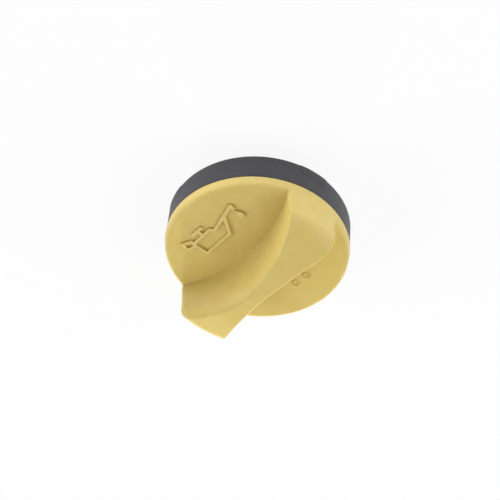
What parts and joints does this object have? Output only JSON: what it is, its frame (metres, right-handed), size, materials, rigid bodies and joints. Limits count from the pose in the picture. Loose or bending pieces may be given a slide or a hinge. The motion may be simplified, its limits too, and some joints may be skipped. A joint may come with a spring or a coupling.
{
  "type": "oil filler cap",
  "caption": "Round oil filler cap with a moulded finger grip, a raised oil can sign, a rubber sealing ring and a lugged bayonet neck.",
  "frame": {"origin": "on the neck's axis, at the neck's lower end, on which the cap rests", "axes": "+Z along the neck's axis, up out of the grip; +X along the grip, towards its end with the small rounding; +Y to the side of the oil can sign"},
  "size_m": [0.0586, 0.0586, 0.0369],
  "materials": {
    "cap_plastic": "fine-grained moulded nylon, pale yellow, satin",
    "ring_rubber": "satin moulded rubber, charcoal"
  },
  "bodies": {
    "root": {"cap_body": "cap_plastic", "sealing_ring": "ring_rubber"}
  },
  "joints": []
}
